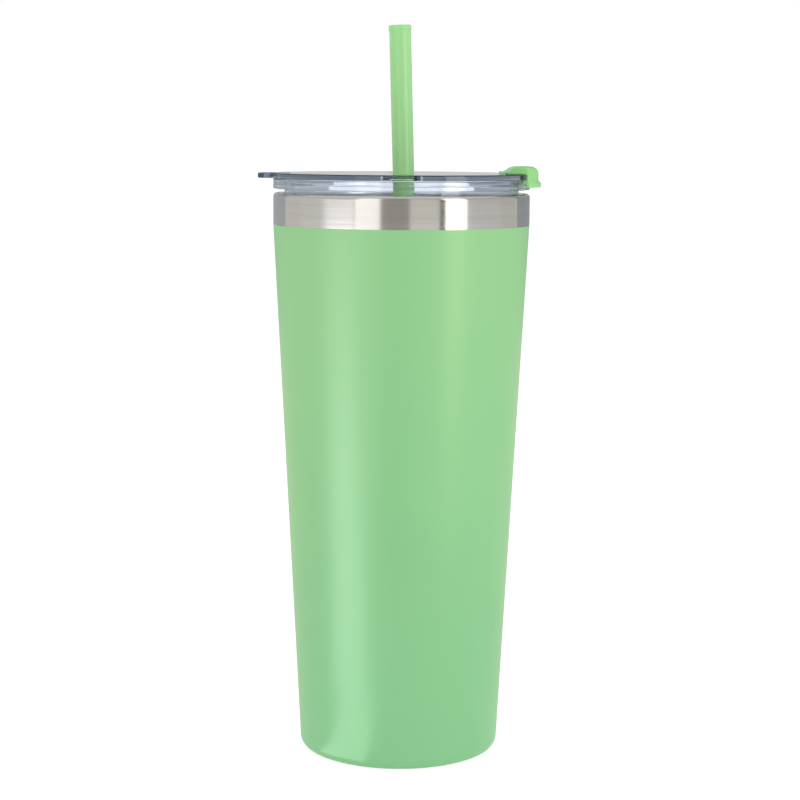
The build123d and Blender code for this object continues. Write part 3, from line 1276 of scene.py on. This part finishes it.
@dataclass(frozen=True)
class Panel:
    """A sheet bent round the object, upright or lying on the floor, in metres.

    Args:
        name: Its name.
        use: What it does.
        low: Bearing of its left edge, in degrees from the front, positive to the right.
        high: Bearing of its right edge.
        strength: Its brightness.
        colour: Its tint.
        start: Distance from the cup's axis and height of its lower edge.
        end: Distance and height of its upper edge.
    """

    name: str
    use: Card
    low: float
    high: float
    strength: float
    colour: Colour = WHITE
    start: Point = (WALL_R, 0.0)
    end: Point = (WALL_R, WALL_TOP)

    def build(self) -> None:
        """Stand the panel on its bearing as a bent emitting sheet."""
        mesh = bmesh.new()
        turn = Matrix.Rotation(math.radians(self.low), 3, "Z")
        verts = [mesh.verts.new(turn @ Vector((0, -r, z))) for r, z in (self.start, self.end)]
        bmesh.ops.spin(
            mesh,
            geom=[*verts, mesh.edges.new(verts)],
            cent=(0, 0, 0),
            axis=(0, 0, 1),
            angle=math.radians(self.high - self.low),
            steps=max(2, round((self.high - self.low) / PANEL_SPAN)),
            use_merge=False,
        )
        data = bpy.data.meshes.new(self.name)
        mesh.to_mesh(data)
        mesh.free()
        data.materials.append(self.glow())
        made = bpy.data.objects.new(self.name, data)
        bpy.context.scene.collection.objects.link(made)
        made.visible_camera = False
        made.visible_shadow = False
        made.visible_diffuse = self.use in (Card.LIGHT, Card.FILL)
        made.visible_glossy = self.use is not Card.FILL
        made.visible_transmission = self.use in (Card.LIGHT, Card.REFLECTION)

    def glow(self) -> bpy.types.Material:
        """Make the panel's emitting material.

        Returns:
            The material.
        """
        material = bpy.data.materials.new(self.name)
        material.use_nodes = True
        tree = material.node_tree
        tree.nodes.clear()
        emission = tree.nodes.new("ShaderNodeEmission")
        emission.inputs["Color"].default_value = (*self.colour, 1.0)
        emission.inputs["Strength"].default_value = self.strength
        out = tree.nodes.new("ShaderNodeOutputMaterial")
        tree.links.new(emission.outputs["Emission"], out.inputs["Surface"])
        return material


def fill(name: str, low: float, high: float, strength: float, colour: Colour) -> Panel:
    """An upright panel that only lights the object."""
    ends = {"start": (FILL_R, 0.0), "end": (FILL_R, WALL_TOP)}
    return Panel(name, Card.FILL, low, high, strength, colour, **ends)


def floor_card(
    name: str,
    low: float,
    high: float,
    near: float,
    far: float,
    strength: float,
    colour: Colour = WHITE,
) -> Panel:
    """A card that lies on the floor and is only reflected.

    Args:
        name: Its name.
        low: Bearing of its left edge, in degrees from the front, positive to the right.
        high: Bearing of its right edge.
        near: Distance of its near edge from the cup's axis.
        far: Distance of its far edge.
        strength: Its brightness.
        colour: Its tint.

    Returns:
        The card.
    """
    ends = {"start": (near, CARD_Z), "end": (far, CARD_Z)}
    return Panel(name, Card.GLOSS, low, high, strength, colour, **ends)


WARM_WHITE: Colour = (1.0, 0.985, 0.95)
AMBER_WHITE: Colour = (1.0, 0.97, 0.86)
COOL_WHITE: Colour = (1.0, 0.99, 1.0)
CREAM: Colour = (1.0, 0.99, 0.84)

PANELS = (
    Panel("left_bright_softbox", Card.LIGHT, -40, -18.5, 1.6, WARM_WHITE),
    Panel("left_softbox", Card.LIGHT, -62, -40, 0.62, (1.0, 0.985, 0.96)),
    Panel("left_side_softbox", Card.LIGHT, -122, -62, 0.66, (1.0, 0.99, 0.96)),
    Panel("right_strip", Card.LIGHT, 39, 58, 3.2, WARM_WHITE),
    fill("left_fill", -150, -66, 1.25, AMBER_WHITE),
    fill("right_fill", 66, 150, 1.05, (1.0, 0.98, 0.9)),
    Panel("front_dark_card", Card.REFLECTION, -18, 7, 0.33, AMBER_WHITE),
    Panel("front_card", Card.REFLECTION, 7, 33.5, 0.68, (1.0, 0.98, 0.9)),
    Panel("thin_dark_card", Card.REFLECTION, 33.5, 38.8, 0.05, (1.0, 0.97, 0.9)),
    Panel("right_card", Card.REFLECTION, 59, 121, 0.57, (1.0, 0.99, 0.97)),
    Panel("far_left_card", Card.REFLECTION, -175, -124, 0.47, (0.88, 0.94, 1.0)),
    Panel("far_right_card", Card.REFLECTION, 123, 175, 0.37, (0.84, 0.92, 1.0)),
    floor_card("left_near_card", -56, -22, 0.037, 0.1, 3.3, COOL_WHITE),
    floor_card("left_middle_card", -68, -33, 0.1, 0.3, 3.8, COOL_WHITE),
    floor_card("left_floor_card", -70, -40, 0.3, 0.75, 4.3, COOL_WHITE),
    floor_card("left_far_card", -74, -44, 0.75, 1.28, 1.9, COOL_WHITE),
    floor_card("right_floor_card", 40, 58, 0.5, 1.28, 3.2, (1.0, 0.88, 0.55)),
    floor_card("thin_floor_card", 33.5, 38.8, 0.5, 1.28, 0.1),
    floor_card("front_floor_card", -18, 7, 0.2, 1.28, 0.5),
    floor_card("back_left_floor", -178, -100, 0.04, 2.5, 0.82, CREAM),
    floor_card("back_right_floor", 100, 178, 0.04, 2.5, 0.82, CREAM),
)


@dataclass
class Studio:
    """Pale floor, soft light and the camera.

    Args:
        room: Brightness of the room round the object.
        room_colour: Tint of the room.
        floor_shade: Shade of the floor under light.
        floor_glow: Extra brightness of the floor as a light.
        floor_white: Extra brightness of the floor as it is seen.
        floor_size: Half the floor's side.
        distance: Camera's distance in front of the cup's axis.
        side: How far the camera stands to the right.
        height: Camera's height.
        tilt: How far the camera looks down, in degrees.
        roll: How far the camera is turned about its own axis, in degrees.
        lens: Focal length.
        sensor: Width of the sensor, in millimetres.
        clip: Nearest and farthest distance that the camera sees.
        panels: The lights and cards.
    """

    room: float = 0.62
    room_colour: Colour = (0.97, 0.985, 1.0)
    floor_shade: float = 0.62
    floor_glow: float = 0.42
    floor_white: float = 0.68
    floor_size: float = 40.0
    distance: float = 661.5 * MM
    side: float = -0.10 * MM
    height: float = 212.9 * MM
    tilt: float = 7.74
    roll: float = 0.347
    lens: float = 85.8
    sensor: float = 36.0
    clip: Point = (0.01, 200.0)
    panels: tuple[Panel, ...] = PANELS

    def build(self) -> None:
        """Set up the whole studio."""
        bpy.context.scene.view_settings.view_transform = "Standard"
        self.floor()
        self.world()
        for panel in self.panels:
            panel.build()
        self.camera()

    def floor(self) -> None:
        """Lay a wide pale floor."""
        mesh = bmesh.new()
        bmesh.ops.create_grid(mesh, x_segments=1, y_segments=1, size=self.floor_size)
        data = bpy.data.meshes.new("floor")
        mesh.to_mesh(data)
        mesh.free()
        nodes = Nodes("pale_floor")
        nodes.set(Base_Color=(*(self.floor_shade,) * 3, 1.0), Roughness=0.9)
        nodes.set(Emission_Color=(*WHITE, 1.0), Specular_IOR_Level=0.0)
        seen = nodes.add("ShaderNodeLightPath")
        glow = nodes.add("ShaderNodeMapRange")
        glow.inputs["To Min"].default_value = self.floor_glow
        glow.inputs["To Max"].default_value = self.floor_white
        rays = (seen.outputs[f"Is {kind} Ray"] for kind in ("Camera", "Transmission"))
        either = nodes.combine("MAXIMUM", *rays)
        nodes.join(either, glow.inputs["Value"])
        nodes.join(glow.outputs["Result"], nodes.shader.inputs["Emission Strength"])
        data.materials.append(nodes.material)
        made = bpy.data.objects.new("floor", data)
        bpy.context.scene.collection.objects.link(made)

    def world(self) -> None:
        """A plain pale room, seen as white behind the object."""
        world = bpy.data.worlds.new("room")
        bpy.context.scene.world = world
        world.use_nodes = True
        tree = world.node_tree
        tree.nodes.clear()
        room = tree.nodes.new("ShaderNodeBackground")
        room.inputs["Color"].default_value = (*self.room_colour, 1.0)
        room.inputs["Strength"].default_value = self.room
        seen = tree.nodes.new("ShaderNodeBackground")
        seen.inputs["Color"].default_value = (*WHITE, 1.0)
        seen.inputs["Strength"].default_value = 1.0
        path = tree.nodes.new("ShaderNodeLightPath")
        either = tree.nodes.new("ShaderNodeMath")
        either.operation = "MAXIMUM"
        mix = tree.nodes.new("ShaderNodeMixShader")
        out = tree.nodes.new("ShaderNodeOutputWorld")
        tree.links.new(path.outputs["Is Camera Ray"], either.inputs[0])
        tree.links.new(path.outputs["Is Transmission Ray"], either.inputs[1])
        tree.links.new(either.outputs["Value"], mix.inputs["Fac"])
        tree.links.new(room.outputs["Background"], mix.inputs[1])
        tree.links.new(seen.outputs["Background"], mix.inputs[2])
        tree.links.new(mix.outputs["Shader"], out.inputs["Surface"])

    def camera(self) -> None:
        """Stand the camera in front of the cup."""
        data = bpy.data.cameras.new("camera")
        data.lens = self.lens
        data.sensor_width = self.sensor
        data.clip_start, data.clip_end = self.clip
        made = bpy.data.objects.new("camera", data)
        look = Matrix.Rotation(math.radians(90 - self.tilt), 4, "X")
        turn = Matrix.Rotation(math.radians(self.roll), 4, "Z")
        place = Matrix.Translation((self.side, -self.distance, self.height))
        made.matrix_world = place @ look @ turn
        bpy.context.scene.collection.objects.link(made)
        bpy.context.scene.camera = made


def main() -> None:
    """Load the frame, dress the cup, lid, straw and stopper, and light them."""
    logging.basicConfig(level=logging.INFO, format="%(name)s: %(message)s")
    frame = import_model()
    nodes = frame["nodes"]
    Studio().build()
    Cup(nodes).build()
    Lid(nodes).build()
    Stopper(nodes).build()


if __name__ == "__main__":
    main()
